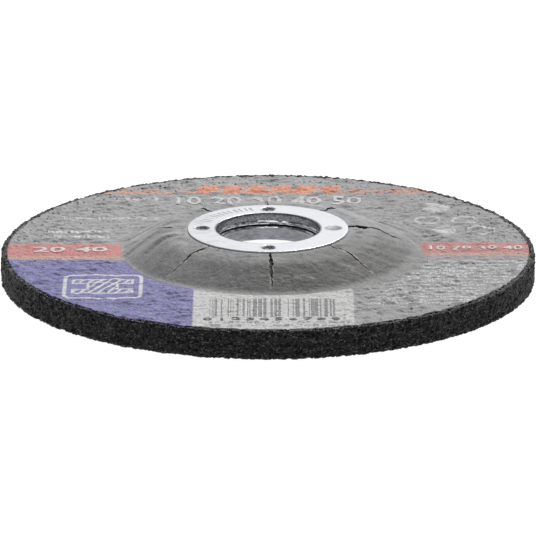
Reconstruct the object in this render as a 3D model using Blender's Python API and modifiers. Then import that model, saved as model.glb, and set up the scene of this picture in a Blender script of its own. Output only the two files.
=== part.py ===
"""Depressed-centre grinding disc for an angle grinder, 115 mm across and 6 mm thick.

The disc lies on its grinding face, hub up. The origin is on the axis in the plane of that
face, +Z points up along the axis, and the disc's front in the photograph faces -Y.
Sizes are in millimetres and are turned into metres where the meshes are made.
"""
import math

import bmesh
import bpy
from mathutils import Matrix, Vector

MM = 0.001

# Wheel: the moulded abrasive body
WHEEL_DIAMETER = 115.0
WHEEL_THICKNESS = 6.0
RIM_EDGE = 0.45          # rounding of the rim's two edges

# Hub: the raised centre, with a cone down to the wheel
HUB_RAISE = 4.35         # hub top above the wheel's upper face
HUB_THICKNESS = 4.87
HUB_LEDGE = 5.2          # flat ring of hub outside the steel flange
CONE_SLOPE_DEG = 26.5
SHOULDER_ROUNDING = 8.0
CONE_FOOT_ROUNDING = 4.0
WALL_INSET = 1.0         # recess roof's edge inside the shoulder above it
MOUTH_INSET = 0.2        # recess mouth's edge inside the foot of the cone
ROOF_ROUNDING = 2.0
MOUTH_ROUNDING = 3.0

# Label: one paper disc over the whole upper face, slit so that it opens over the cone
PAPER_THICKNESS = 0.18
LABEL_MARGIN = 0.8       # bare rim outside the paper
SLIT_WIDTH = 0.6         # over the shoulder, where each slit gapes most
SLIT_REACH = 6.5         # past the shoulder, down the cone
# How far each slit, an eighth of a turn apart from straight ahead (-Y), strays by hand
SLIT_DRIFTS_DEG = (2.2, 1.9, 3.8, 5.5, 0.8, -3.0, -3.5, 0.2)

# Centre ring: two flanged steel rings, pressed in from above and from below
BORE_DIAMETER = 22.23
SHEET_THICKNESS = 0.45
FLANGE_WIDTH = 6.18
LIP_ROUNDING = 0.32      # the bend from flange to collar
FLANGE_EDGE_ROUNDING = 0.16
COLLAR_END_ROUNDING = 0.18
UPPER_COLLAR_LENGTH = 2.5
COLLAR_GAP = 0.5         # between the ends of the two collars

# Claws: dimples punched through the upper flange, which grip the hub below
CLAW_COUNT = 4
CLAW_MOUTH_DIAMETER = 3.1
CLAW_TIP_DIAMETER = 1.3
CLAW_DEPTH = 1.15
CLAW_WALL = 0.25
CLAW_CLEARANCE = 0.1

# Print: the label's fields of colour, as lines across the disc and down it
STRIPE_NEAR = 42.3       # the stripe at the back, across the disc
STRIPE_DEPTH = 2.5
STRIPE_HALF_LENGTH = 36.0
LEFT_BAND_BACK = 3.8     # the red band on the left, and the paler strip in front of it
LEFT_BAND_DEPTH = 8.5
RIGHT_BAND_BACK = 5.3
RIGHT_BAND_DEPTH = 7.2
PALE_STRIP_DEPTH = 2.7
BLUE_FIELD_BACK = -7.4
WHITE_FIELD_LEFT = -15.7
WHITE_FIELD_WIDTH = 34.0

# Fits and fineness
SEAT_GAP = 0.05          # between faces that touch
WHEEL_TURN_STEPS = 72
RING_TURN_STEPS = 60
ARC_STEPS = 3
EDGE_STEPS = 2           # round an edge, a small arc
EDGE_ROUNDING = 1.0      # below this, an arc is an edge
CLAW_STEPS = 16

# Worked out from the sizes above
wheel_radius = WHEEL_DIAMETER / 2
bore_radius = BORE_DIAMETER / 2
collar_radius = bore_radius + SHEET_THICKNESS
flange_radius = bore_radius + FLANGE_WIDTH
shoulder_radius = flange_radius + HUB_LEDGE
cone_foot_radius = shoulder_radius + HUB_RAISE / math.tan(math.radians(CONE_SLOPE_DEG))
hub_top = WHEEL_THICKNESS + HUB_RAISE
recess_roof = hub_top - HUB_THICKNESS
label_radius = wheel_radius - LABEL_MARGIN
label_top_gap = SEAT_GAP + PAPER_THICKNESS
upper_flange_bottom = hub_top + label_top_gap + SEAT_GAP
upper_flange_top = upper_flange_bottom + SHEET_THICKNESS
upper_collar_end = upper_flange_top - UPPER_COLLAR_LENGTH
lower_collar_end = upper_collar_end - COLLAR_GAP
lower_flange_top = recess_roof - SEAT_GAP
lower_flange_bottom = lower_flange_top - SHEET_THICKNESS
claw_circle_radius = (bore_radius + flange_radius) / 2


def clear_scene():
    for obj in list(bpy.data.objects):
        bpy.data.objects.remove(obj, do_unlink=True)


def new_collection(name):
    collection = bpy.data.collections.new(name)
    bpy.context.scene.collection.children.link(collection)
    return collection


def finish(name, colour, roughness, metallic=0.0):
    material = bpy.data.materials.new(name)
    material.use_nodes = True
    shader = material.node_tree.nodes["Principled BSDF"]
    shader.inputs["Base Color"].default_value = (*colour, 1.0)
    shader.inputs["Roughness"].default_value = roughness
    shader.inputs["Metallic"].default_value = metallic
    return material


def rounded(corners):
    """Points of an open or closed outline, from corners (radius, height, rounding)."""
    points = []
    for i, (r, z, rounding) in enumerate(corners):
        here = Vector((r, z))
        before = Vector(corners[i - 1][:2])
        after = Vector(corners[(i + 1) % len(corners)][:2])
        if not rounding:
            points.append(here)
            continue
        back, on = before - here, after - here
        half_angle = back.angle(on) / 2
        room = 0.45 * min(back.length, on.length)
        tangent = min(rounding / math.tan(half_angle), room)
        radius = tangent * math.tan(half_angle)
        middle = here + (back.normalized() + on.normalized()).normalized() * (radius / math.sin(half_angle))
        start = here + back.normalized() * tangent - middle
        end = here + on.normalized() * tangent - middle
        sweep = start.angle_signed(end)
        steps = ARC_STEPS if rounding > EDGE_ROUNDING else EDGE_STEPS
        for step in range(steps + 1):
            points.append(middle + Matrix.Rotation(-sweep * step / steps, 2) @ start)
    return points


def lifted(path, distance):
    """An outward-running path moved up off its surface by the distance."""
    moved = []
    for i, point in enumerate(path):
        before = path[max(i - 1, 0)]
        after = path[min(i + 1, len(path) - 1)]
        along_in = (point - before).normalized() if i else (after - point).normalized()
        along_out = (after - point).normalized() if i < len(path) - 1 else along_in
        along = (along_in + along_out).normalized()
        bend = along.dot(along_in)
        moved.append(point + Vector((-along.y, along.x)) * (distance / bend))
    return moved


def turned(name, outline, turn_steps, collection, material):
    """A closed outline in the XZ plane, clockwise at +X, turned about the axis."""
    mesh = bpy.data.meshes.new(name)
    verts = [(point.x * MM, 0.0, point.y * MM) for point in outline]
    edges = [(i, (i + 1) % len(verts)) for i in range(len(verts))]
    mesh.from_pydata(verts, edges, [])
    obj = bpy.data.objects.new(name, mesh)
    collection.objects.link(obj)
    mesh.materials.append(material)
    screw = obj.modifiers.new("turn", "SCREW")
    screw.axis = "Z"
    screw.angle = math.tau
    screw.steps = turn_steps
    screw.render_steps = turn_steps
    screw.use_merge_vertices = True
    screw.merge_threshold = 0.000001
    return obj


def cut(obj, tool, operation="DIFFERENCE"):
    modifier = obj.modifiers.new(tool.name, "BOOLEAN")
    modifier.operation = operation
    modifier.object = tool
    modifier.solver = "EXACT"


def settle(obj):
    """Keeps the shape that the modifiers give, and shades it smooth up to its edges."""
    depsgraph = bpy.context.evaluated_depsgraph_get()
    mesh = bpy.data.meshes.new_from_object(obj.evaluated_get(depsgraph))
    mesh.name = obj.name
    obj.modifiers.clear()
    obj.data = mesh
    mesh.shade_smooth()
    mesh.set_sharp_from_angle(angle=math.radians(35))


def as_tool(name, bm, cutters):
    """A cutter or a joining shape that isn't a piece of the disc."""
    mesh = bpy.data.meshes.new(name)
    bm.to_mesh(mesh)
    bm.free()
    obj = bpy.data.objects.new(name, mesh)
    cutters.objects.link(obj)
    obj.hide_render = True
    obj.display_type = "WIRE"
    return obj


def around_claws():
    """The centre of each claw, one in front, one behind and one on each side."""
    for i in range(CLAW_COUNT):
        turn = math.tau * i / CLAW_COUNT
        yield Vector((math.sin(turn), -math.cos(turn), 0.0)) * claw_circle_radius


def claw_cones(name, grow, top, bottom, cutters):
    """Tapered plugs at the claws, grown by a wall or a clearance, from top down to bottom."""
    slope = (CLAW_MOUTH_DIAMETER - CLAW_TIP_DIAMETER) / 2 / CLAW_DEPTH
    bm = bmesh.new()
    for place in around_claws():
        middle = Vector((place.x, place.y, (top + bottom) / 2))
        bmesh.ops.create_cone(
            bm, cap_ends=True, segments=CLAW_STEPS,
            radius1=(CLAW_TIP_DIAMETER / 2 + grow + slope * (bottom - upper_flange_top + CLAW_DEPTH)) * MM,
            radius2=(CLAW_TIP_DIAMETER / 2 + grow + slope * (top - upper_flange_top + CLAW_DEPTH)) * MM,
            depth=(top - bottom) * MM,
            matrix=Matrix.Translation(middle * MM),
        )
    return as_tool(name, bm, cutters)


def slit_blades(cutters):
    """One kite-shaped blade for each slit: pointed at both ends, widest over the shoulder."""
    bm = bmesh.new()
    for i, drift in enumerate(SLIT_DRIFTS_DEG):
        blade = bmesh.ops.create_cone(
            bm, cap_ends=True, segments=4, radius1=1.0, radius2=1.0,
            depth=(upper_flange_top - WHEEL_THICKNESS) * MM,
            matrix=Matrix.Translation((0, 0, (upper_flange_top + WHEEL_THICKNESS) / 2 * MM)),
        )["verts"]
        for vert in blade:
            vert.co.x *= SLIT_WIDTH / 2 * MM
            if abs(vert.co.y) < 0.5:
                vert.co.y = -shoulder_radius * MM
            elif vert.co.y < 0:
                vert.co.y = -(shoulder_radius + SLIT_REACH) * MM
            else:
                vert.co.y = -(bore_radius - SLIT_WIDTH) * MM
        turn = math.tau * i / len(SLIT_DRIFTS_DEG) + math.radians(drift)
        bmesh.ops.rotate(bm, verts=blade, matrix=Matrix.Rotation(turn, 3, "Z"))
    return as_tool("slit_blades", bm, cutters)


def upper_surface(inner, outer):
    """Corners of the upper face from the bore out to the rim."""
    return [
        (inner, hub_top, 0.0),
        (shoulder_radius, hub_top, SHOULDER_ROUNDING),
        (cone_foot_radius, WHEEL_THICKNESS, CONE_FOOT_ROUNDING),
        (outer, WHEEL_THICKNESS, 0.0),
    ]


def make_wheel_body(disc, claw_pockets):
    material = finish("abrasive_black", (0.018, 0.018, 0.019), 0.9)
    seat_radius = collar_radius + SEAT_GAP
    outline = rounded(
        upper_surface(seat_radius, wheel_radius)[:3]
        + [
            (wheel_radius, WHEEL_THICKNESS, RIM_EDGE),
            (wheel_radius, 0.0, RIM_EDGE),
            (cone_foot_radius - MOUTH_INSET, 0.0, MOUTH_ROUNDING),
            (shoulder_radius - WALL_INSET, recess_roof, ROOF_ROUNDING),
            (seat_radius, recess_roof, 0.0),
        ]
    )
    body = turned("wheel_body", outline, WHEEL_TURN_STEPS, disc, material)
    cut(body, claw_pockets)
    settle(body)


def make_label(disc, claw_pockets, blades):
    grey = finish("label_grey", (0.36, 0.36, 0.36), 0.6)
    face = rounded(upper_surface(collar_radius + SEAT_GAP, label_radius))
    outline = lifted(face, label_top_gap) + lifted(face, SEAT_GAP)[::-1]
    label = turned("label", outline, WHEEL_TURN_STEPS, disc, grey)
    cut(label, blades)
    cut(label, claw_pockets)
    settle(label)
    print_fields(label)


def print_fields(label):
    """Splits the flat of the label along the edges of its fields and colours them."""
    names = {"blue": 1, "white": 2, "red": 3, "orange": 4}
    label.data.materials.append(finish("print_blue", (0.15, 0.14, 0.42), 0.6))
    label.data.materials.append(finish("print_white", (0.72, 0.72, 0.74), 0.6))
    label.data.materials.append(finish("print_red", (0.55, 0.12, 0.09), 0.6))
    label.data.materials.append(finish("print_orange", (0.75, 0.24, 0.10), 0.6))
    left_front = LEFT_BAND_BACK - LEFT_BAND_DEPTH
    right_front = RIGHT_BAND_BACK - RIGHT_BAND_DEPTH
    white_right = WHITE_FIELD_LEFT + WHITE_FIELD_WIDTH
    blue_back = min(BLUE_FIELD_BACK, left_front - PALE_STRIP_DEPTH)
    side = cone_foot_radius

    def field(x, y):
        if STRIPE_NEAR < y < STRIPE_NEAR + STRIPE_DEPTH and abs(x) < STRIPE_HALF_LENGTH:
            return "orange"
        if x < 0 and y < LEFT_BAND_BACK and y > blue_back:
            return "red" if y > left_front else "orange"
        if x > 0 and y < RIGHT_BAND_BACK and y > right_front - PALE_STRIP_DEPTH:
            return "red" if y > right_front else "orange"
        if y < blue_back and x < WHITE_FIELD_LEFT:
            return "blue"
        if y < -side * 0.8 and x < white_right:
            return "white"
        return None

    # Each line across the disc or down it, with the part of the label that it splits
    lines = [
        ("y", STRIPE_NEAR, lambda c: c.y > 0),
        ("y", STRIPE_NEAR + STRIPE_DEPTH, lambda c: c.y > 0),
        ("x", STRIPE_HALF_LENGTH, lambda c: c.y > side),
        ("x", -STRIPE_HALF_LENGTH, lambda c: c.y > side),
        ("y", LEFT_BAND_BACK, lambda c: c.x < 0),
        ("y", left_front, lambda c: c.x < 0),
        ("y", blue_back, lambda c: c.x < 0),
        ("y", RIGHT_BAND_BACK, lambda c: c.x > 0),
        ("y", right_front, lambda c: c.x > 0),
        ("y", right_front - PALE_STRIP_DEPTH, lambda c: c.x > 0),
        ("x", WHITE_FIELD_LEFT, lambda c: c.y < 0),
        ("x", white_right, lambda c: c.y < 0),
    ]
    bm = bmesh.new()
    bm.from_mesh(label.data)

    def printed_faces():
        foot = (cone_foot_radius - SEAT_GAP) * MM
        return [
            face for face in bm.faces
            if face.normal.z > 0.99 and all(vert.co.xy.length > foot for vert in face.verts)
        ]

    for axis, place, part in lines:
        faces = [face for face in printed_faces() if part(face.calc_center_median() / MM)]
        edges = {edge for face in faces for edge in face.edges}
        verts = {vert for face in faces for vert in face.verts}
        direction = Vector((1, 0, 0)) if axis == "x" else Vector((0, 1, 0))
        bmesh.ops.bisect_plane(
            bm, geom=[*faces, *edges, *verts], dist=1e-7,
            plane_co=direction * place * MM, plane_no=direction,
        )
    for face in printed_faces():
        middle = face.calc_center_median() / MM
        face.material_index = names.get(field(middle.x, middle.y), 0)
    bm.to_mesh(label.data)
    bm.free()


def make_upper_ring(disc, claws, punches):
    steel = finish("zinc_plated_steel", (0.82, 0.82, 0.82), 0.32, 0.9)
    outline = rounded([
        (bore_radius, upper_flange_top, LIP_ROUNDING),
        (flange_radius, upper_flange_top, FLANGE_EDGE_ROUNDING),
        (flange_radius, upper_flange_bottom, FLANGE_EDGE_ROUNDING),
        (collar_radius, upper_flange_bottom, 0.0),
        (collar_radius, upper_collar_end, COLLAR_END_ROUNDING),
        (bore_radius, upper_collar_end, COLLAR_END_ROUNDING),
    ])
    ring = turned("upper_ring", outline, RING_TURN_STEPS, disc, steel)
    cut(ring, claws, "UNION")
    cut(ring, punches)
    settle(ring)


def make_lower_ring(disc):
    steel = finish("zinc_plated_steel_below", (0.74, 0.74, 0.74), 0.36, 0.9)
    outline = rounded([
        (bore_radius, lower_collar_end, COLLAR_END_ROUNDING),
        (collar_radius, lower_collar_end, COLLAR_END_ROUNDING),
        (collar_radius, lower_flange_top, 0.0),
        (flange_radius, lower_flange_top, FLANGE_EDGE_ROUNDING),
        (flange_radius, lower_flange_bottom, FLANGE_EDGE_ROUNDING),
        (bore_radius, lower_flange_bottom, LIP_ROUNDING),
    ])
    ring = turned("lower_ring", outline, RING_TURN_STEPS, disc, steel)
    settle(ring)


def build():
    clear_scene()
    disc = new_collection("grinding_disc")
    cutters = new_collection("cutters")
    claw_tip = upper_flange_top - CLAW_DEPTH
    above = upper_flange_top + SHEET_THICKNESS
    claws = claw_cones(
        "claws", CLAW_WALL, upper_flange_top - SHEET_THICKNESS / 2, claw_tip, cutters
    )
    punches = claw_cones("punches", 0.0, above, claw_tip - SHEET_THICKNESS, cutters)
    pockets = claw_cones(
        "claw_pockets", CLAW_WALL + CLAW_CLEARANCE, above, claw_tip - CLAW_CLEARANCE, cutters
    )
    blades = slit_blades(cutters)
    make_wheel_body(disc, pockets)
    make_label(disc, pockets, blades)
    make_upper_ring(disc, claws, punches)
    make_lower_ring(disc)


build()
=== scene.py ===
"""The looks of the grinding disc: its printed paper label, black grain and steel centre ring."""

import math

import bmesh
import bpy
import numpy as np
from mathutils import Matrix, Vector, noise


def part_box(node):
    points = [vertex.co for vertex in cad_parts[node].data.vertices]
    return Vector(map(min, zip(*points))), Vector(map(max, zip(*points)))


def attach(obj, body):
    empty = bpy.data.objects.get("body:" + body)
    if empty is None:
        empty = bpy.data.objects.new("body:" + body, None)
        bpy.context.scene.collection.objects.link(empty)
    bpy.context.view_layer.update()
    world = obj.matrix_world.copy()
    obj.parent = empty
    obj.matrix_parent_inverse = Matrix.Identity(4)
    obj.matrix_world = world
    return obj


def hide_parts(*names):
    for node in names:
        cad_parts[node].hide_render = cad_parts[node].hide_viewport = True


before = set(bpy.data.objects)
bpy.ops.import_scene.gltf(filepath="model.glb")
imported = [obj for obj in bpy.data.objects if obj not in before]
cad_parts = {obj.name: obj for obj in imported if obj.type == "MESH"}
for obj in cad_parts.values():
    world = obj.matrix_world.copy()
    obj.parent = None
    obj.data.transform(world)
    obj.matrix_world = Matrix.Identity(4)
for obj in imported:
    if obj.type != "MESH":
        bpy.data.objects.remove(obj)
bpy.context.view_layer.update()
bpy.ops.object.select_all(action="DESELECT")

MM = 0.001

# Places of the pieces, in millimetres, from the frame
label_low, label_high = (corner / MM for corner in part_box("label"))
_, wheel_high = (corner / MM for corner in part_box("wheel_body"))
upper_low, upper_high = (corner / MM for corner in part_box("upper_ring"))
lower_low, lower_high = (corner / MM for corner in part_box("lower_ring"))
WHEEL_RADIUS = wheel_high.x
LABEL_RADIUS = label_high.x
FLANGE_RADIUS = upper_high.x
PAPER = 0.18                        # thickness of the paper
SEAT_GAP = 0.05
FACE = label_low.z + PAPER          # top of the paper on the flat of the wheel
HUB_FACE = label_high.z             # top of the paper on the hub
WHEEL_FACE = label_low.z - SEAT_GAP
HUB_LEDGE = 5.2                     # flat part of the hub outside the flange
CONE_SLOPE = math.tan(math.radians(26.5))
SHOULDER_RADIUS = FLANGE_RADIUS + HUB_LEDGE
CONE_FOOT = SHOULDER_RADIUS + (HUB_FACE - FACE) / CONE_SLOPE
SHOULDER_ROUNDING = 8.0
FOOT_ROUNDING = 4.0
BORE_RADIUS = 11.115
SHEET = 0.45                        # thickness of the ring's steel
COLLAR_RADIUS = BORE_RADIUS + SHEET
RECESS_ROOF = lower_low.z + SHEET + SEAT_GAP
ROOF_RADIUS = SHOULDER_RADIUS - 1.0
MOUTH_RADIUS = CONE_FOOT - 0.2
BODY_BORE = COLLAR_RADIUS + SEAT_GAP


# Shaping

def rounded(corners, steps):
    """Points of an outline from corners (radius, height, rounding); its ends stay sharp."""
    points = [Vector(corners[0][:2])]
    for before, (r, z, rounding), after in zip(corners, corners[1:], corners[2:]):
        here = Vector((r, z))
        back = (Vector(before[:2]) - here).normalized()
        on = (Vector(after[:2]) - here).normalized()
        half = back.angle(on) / 2
        tangent = rounding / math.tan(half)
        middle = here + (back + on).normalized() * (rounding / math.sin(half))
        start = here + back * tangent - middle
        sweep = start.angle_signed(here + on * tangent - middle)
        for step in range(steps + 1):
            points.append(middle + Matrix.Rotation(-sweep * step / steps, 2) @ start)
    points.append(Vector(corners[-1][:2]))
    return points


def paced(points, pace):
    """The same path with its points about one pace apart."""
    path = [points[0]]
    for a, b in zip(points, points[1:]):
        count = max(1, round((b - a).length / pace))
        path += [a.lerp(b, i / count) for i in range(1, count + 1)]
    return path


def spun(name, path, steps, closed=False):
    """A path of (radius, height) points turned once round the axis."""
    bpy.ops.object.select_all(action="DESELECT")
    bpy.ops.mesh.primitive_circle_add(vertices=len(path), radius=MM)
    obj = bpy.context.object
    obj.name = name
    if not closed:
        bpy.ops.object.mode_set(mode="EDIT")
        bpy.ops.mesh.select_mode(type="EDGE")
        bm = bmesh.from_edit_mesh(obj.data)
        for edge in bm.edges:
            edge.select = {vert.index for vert in edge.verts} == {0, len(path) - 1}
        bmesh.update_edit_mesh(obj.data)
        bpy.ops.mesh.delete(type="EDGE")
        bpy.ops.object.mode_set(mode="OBJECT")
    put(obj, np.array([(point.x, 0.0, point.y) for point in path]))
    screw = obj.modifiers.new("turn", "SCREW")
    screw.axis = "Z"
    screw.angle = math.tau
    screw.steps = screw.render_steps = steps
    screw.use_merge_vertices = True
    screw.merge_threshold = 0.000001
    bpy.ops.object.modifier_apply(modifier=screw.name)
    return obj


BRIDGE_REACH = 2.0


def bridged(name, zones):
    """Spun zones joined into one piece; neighbouring zones may have unlike numbers of steps."""
    bpy.ops.object.select_all(action="DESELECT")
    for zone in zones:
        zone.select_set(True)
    bpy.context.view_layer.objects.active = zones[0]
    bpy.ops.object.join()
    obj = zones[0]
    obj.name = name
    obj.data.name = name
    bpy.ops.object.mode_set(mode="EDIT")
    bpy.ops.mesh.select_mode(type="EDGE")
    while True:
        bm = bmesh.from_edit_mesh(obj.data)
        rims = [edge for edge in bm.edges if edge.is_boundary]
        loops = {}
        for edge in rims:
            middle = (edge.verts[0].co + edge.verts[1].co) / 2
            key = (round(middle.xy.length / MM, 1), round(middle.z / MM, 1))
            loops.setdefault(key, []).append(edge)
        if len(loops) < 2:
            break
        keys = sorted(loops)
        pairs = [(math.dist(a, b), a, b) for i, a in enumerate(keys) for b in keys[i + 1:]]
        gap, first, second = min(pairs)
        if gap > BRIDGE_REACH:
            break
        bpy.ops.mesh.select_all(action="DESELECT")
        for edge in loops[first] + loops[second]:
            edge.select = True
        bmesh.update_edit_mesh(obj.data)
        bpy.ops.mesh.bridge_edge_loops()
    bpy.ops.mesh.select_all(action="SELECT")
    bpy.ops.mesh.normals_make_consistent(inside=False)
    bpy.ops.object.mode_set(mode="OBJECT")
    return obj


def places(obj):
    """The vertices' places in millimetres, as an array."""
    flat = np.empty(len(obj.data.vertices) * 3)
    obj.data.vertices.foreach_get("co", flat)
    return flat.reshape(-1, 3) / MM


def put(obj, spots):
    obj.data.vertices.foreach_set("co", (spots * MM).ravel())
    obj.data.update()


def smooth_step(low, high, value):
    share = np.clip((value - low) / (high - low), 0, 1)
    return share * share * (3 - 2 * share)


def on_disc(obj, body, slot, *nodes):
    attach(obj, body)
    if nodes:
        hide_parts(*nodes)


# Label

upper_face = rounded(
    [
        (BODY_BORE, HUB_FACE, 0),
        (SHOULDER_RADIUS, HUB_FACE, SHOULDER_ROUNDING),
        (CONE_FOOT, FACE, FOOT_ROUNDING),
        (LABEL_RADIUS, FACE, 0),
    ],
    8,
)

LABEL_SPOKES = 432
LABEL_ZONE_END = 31.0
LABEL_PACE = 0.43
LABEL_SET_BACK = 0.5        # how far the ragged edge stands back
DENT_PITCH = (3.6, 3.4)

SLIT_DRIFTS_DEG = (1.6, 3.7, 7.0, 5.5, 0.8, -3.0, -4.8, 0.2)    # how far each lies off its eighth
SLIT_GAPES = (1.2, 0.9, 2.3, 2.0, 1.2, 1.6, 0.6, 1.1)           # how wide each stands open
SLIT_TIP = SHOULDER_RADIUS + 7.3
SLIT_HALF_WIDTH = 0.3
SLIT_SPREAD = 0.9           # how far beside a slit the paper is drawn aside with it
SLIT_SPREAD_END = 2.5

# Thick print lies flatter: place (left, right, low, high) and how much of the relief is left
FLATTER_PRINT = (
    (-15.7, 18.0, -60.0, -31.0, 0.5),       # white field
    (-44.0, -26.0, -35.5, -17.5, 0.5),      # framed beam
    (-60.0, -31.0, -8.0, 4.6, 0.45),        # left band
    (31.5, 60.0, -5.4, 6.0, 0.45),          # right band
    (-21.5, 22.0, 33.0, 41.0, 0.7),         # large numerals at the back
)


def wave(x, y, z):
    return noise.noise(Vector((x, y, z)))


def round_wave(turn, lumps, z):
    """Noise that closes on itself round the axis."""
    return wave(math.cos(turn) * lumps, math.sin(turn) * lumps, z)


def ripples(x, y):
    """Creased ripples that run aslant over the disc."""
    along, across = x * 0.85 + y * 0.53, y * 0.85 - x * 0.53
    height = 0.80 * abs(wave(along / 5.0, across / 2.4, 1.0)) - 0.14
    height += 0.27 * abs(wave(along / 2.2, across / 1.2, 7.0)) - 0.04
    # Dents where the fibre mesh under the paper draws it down
    column, row = x / DENT_PITCH[0] + 0.08 * y, y / DENT_PITCH[1] - 0.05 * x
    _, cells = noise.voronoi(Vector((column, row, 0.0)))
    dx = (column - cells[0].x) * DENT_PITCH[0]
    dy = (row - cells[0].y) * DENT_PITCH[1]
    depth = 0.12 + 0.22 * noise.noise(cells[0] * 5.3)
    return height - depth * math.exp(-((dx / 1.3) ** 2) - (dy / 0.6) ** 2)


def pleats(x, y, r, turn):
    """Pleats down the cone: highest on its left, lower and ending sooner on its front."""
    spiral = turn - r / 40
    pleat = round_wave(spiral, 12, r / 16)
    pleat += 0.3 * round_wave(spiral, 30, r / 9)
    crest = 0.22 - abs(round_wave(spiral, 15, 4 + r / 15))
    pleat = 0.75 * pleat + (1.0 if x < 0 else 0.5) * crest
    folds = 0.24 + 0.17 * min(0.0, y / r)
    folds += 0.06 * x / r if x > 0 else -0.5 * x / r * float(smooth_step(-21, -8, y))
    foot = 32.0 + 5.0 * float(smooth_step(-18, -5, y))
    folds *= float(1 - smooth_step(foot - 4.5, foot, r))
    return folds * pleat


def winding_ridges(r, turn):
    """Long ridges that wind down the cone at the back right."""
    share = smooth_step(-0.15, 0.2, turn) * (1 - smooth_step(1.0, 1.4, turn))
    share *= smooth_step(21.5, 24.5, r) * (1 - smooth_step(33.5, 37, r))
    ridge = 0.2 - abs(wave((r + 5.6 * turn) / 1.9, turn * 1.3, 21))
    return 0.75 * float(share) * ridge


def paper_relief(x, y):
    """Height of the paper's wrinkles over the plain hub and wheel, in millimetres."""
    r = math.hypot(x, y)
    turn = math.atan2(y, x)
    on_cone = float(smooth_step(18, 23, r) * (1 - smooth_step(31, 37, r)))
    height = ripples(x, y) * (1 - 0.9 * on_cone) + pleats(x, y, r, turn) * on_cone
    height += winding_ridges(r, turn)
    for left, right, low, high, kept in FLATTER_PRINT:
        inside = min(x - left, right - x, y - low, high - y)
        height *= 1 - (1 - kept) * float(smooth_step(-0.8, 0.8, inside))
    # It lies flat under the flange and along its own edge
    past_flange = smooth_step(FLANGE_RADIUS + 0.3, FLANGE_RADIUS + 2.5, r)
    height *= float(past_flange * smooth_step(57.0, 55.2, r))
    # The paper swells a little round the pressed flange
    swell = 0.2 * math.exp(-(((r - FLANGE_RADIUS - 0.5) / 0.7) ** 2))
    return height + swell * float(smooth_step(16.6, 17.4, r))


def slit_half_width(r):
    return float(np.interp(
        r, [BODY_BORE, FLANGE_RADIUS, SHOULDER_RADIUS - 1.5, SHOULDER_RADIUS + 3, SLIT_TIP - 0.4],
        [0.05, 0.16, SLIT_HALF_WIDTH, 0.18, 0.07],
    ))


def make_label():
    inner = [p for p in paced(upper_face, LABEL_PACE) if p.x < LABEL_ZONE_END]
    outer = [p for p in paced(upper_face, LABEL_PACE) if p.x >= LABEL_ZONE_END]
    label = bridged("label_paper", [
        spun("label_inner", inner, LABEL_SPOKES),
        spun("label_outer", outer, 2 * LABEL_SPOKES),
    ])
    cut_slits(label)
    spots = places(label)
    for spot in spots:
        x, y, z = spot
        spot[2] = z + paper_relief(x, y)
    radius = np.hypot(spots[:, 0], spots[:, 1])
    at_edge = np.nonzero(radius > LABEL_RADIUS - 0.3)[0]
    for i in at_edge:
        x, y, _ = spots[i]
        ragged = 0.2 * wave(x / 1.3, y / 1.3, 3.0)
        spots[i, :2] *= 1 + (ragged - LABEL_SET_BACK) / radius[i]
    put(label, spots)
    thicken(label)
    return label


def cut_slits(label):
    """Splits the paper along eight spokes and spreads the split edges apart."""
    step = math.tau / LABEL_SPOKES
    on_slit = step / 9
    turns = [
        round((math.tau * i / 8 + math.radians(drift) - math.pi / 2) / step) * step
        for i, drift in enumerate(SLIT_DRIFTS_DEG)
    ]
    bpy.ops.object.select_all(action="DESELECT")
    label.select_set(True)
    bpy.context.view_layer.objects.active = label
    bpy.ops.object.mode_set(mode="EDIT")
    bpy.ops.mesh.select_mode(type="EDGE")
    bpy.ops.mesh.select_all(action="DESELECT")
    bm = bmesh.from_edit_mesh(label.data)

    def off_slit(co, turn):
        return (math.atan2(co.y, co.x) - turn + math.pi) % math.tau - math.pi

    reach = SLIT_TIP * MM
    for edge in bm.edges:
        a, b = (vert.co for vert in edge.verts)
        if max(a.xy.length, b.xy.length) > reach:
            continue
        edge.select = any(
            abs(off_slit(a, turn)) < on_slit and abs(off_slit(b, turn)) < on_slit for turn in turns
        )
    bmesh.update_edit_mesh(label.data)
    bpy.ops.mesh.edge_split(type="EDGE")
    bm = bmesh.from_edit_mesh(label.data)
    moves = []
    for vert in bm.verts:
        r = vert.co.xy.length / MM
        if r > SLIT_TIP:
            continue
        for turn, gape in zip(turns, SLIT_GAPES):
            off = off_slit(vert.co, turn)
            away = abs(off) * r
            if away > SLIT_SPREAD_END:
                continue
            side = math.copysign(1.0, off)
            if abs(off) < on_slit:
                middle = sum((face.calc_center_median() for face in vert.link_faces), Vector())
                side = math.copysign(1.0, off_slit(middle / len(vert.link_faces), turn))
            torn = max(0.2, 1 + 1.5 * wave(r * 1.15, turn * 5, 3 * side))
            shift = side * gape * torn * slit_half_width(r) * math.exp(-(away / SLIT_SPREAD) ** 2)
            moves.append((vert, shift / r))
    for vert, angle in moves:
        vert.co = Matrix.Rotation(angle, 3, "Z") @ vert.co
    bmesh.update_edit_mesh(label.data)
    bpy.ops.object.mode_set(mode="OBJECT")


def thicken(label):
    """Gives the sheet its thickness downwards; its hidden face is made coarse."""
    under = label.vertex_groups.new(name="under")
    solid = label.modifiers.new("thickness", "SOLIDIFY")
    solid.thickness = PAPER * MM
    solid.offset = -1
    solid.shell_vertex_group = under.name
    bpy.ops.object.modifier_apply(modifier=solid.name)
    thin = label.modifiers.new("coarse_under", "DECIMATE")
    thin.ratio = 0.62
    thin.vertex_group = under.name
    thin.vertex_group_factor = 1.0
    bpy.ops.object.modifier_apply(modifier=thin.name)
    label.vertex_groups.clear()
    bpy.ops.object.shade_smooth_by_angle(angle=math.radians(60))


# Print that stands on the paper

FILM_STEP = 0.5             # distance between the cuts that let a numeral bend
FILM_LIFT = 0.08
FILM_THICKNESS = 0.04
DROP_HEIGHT = 20            # the film is dropped on the paper from here


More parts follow.
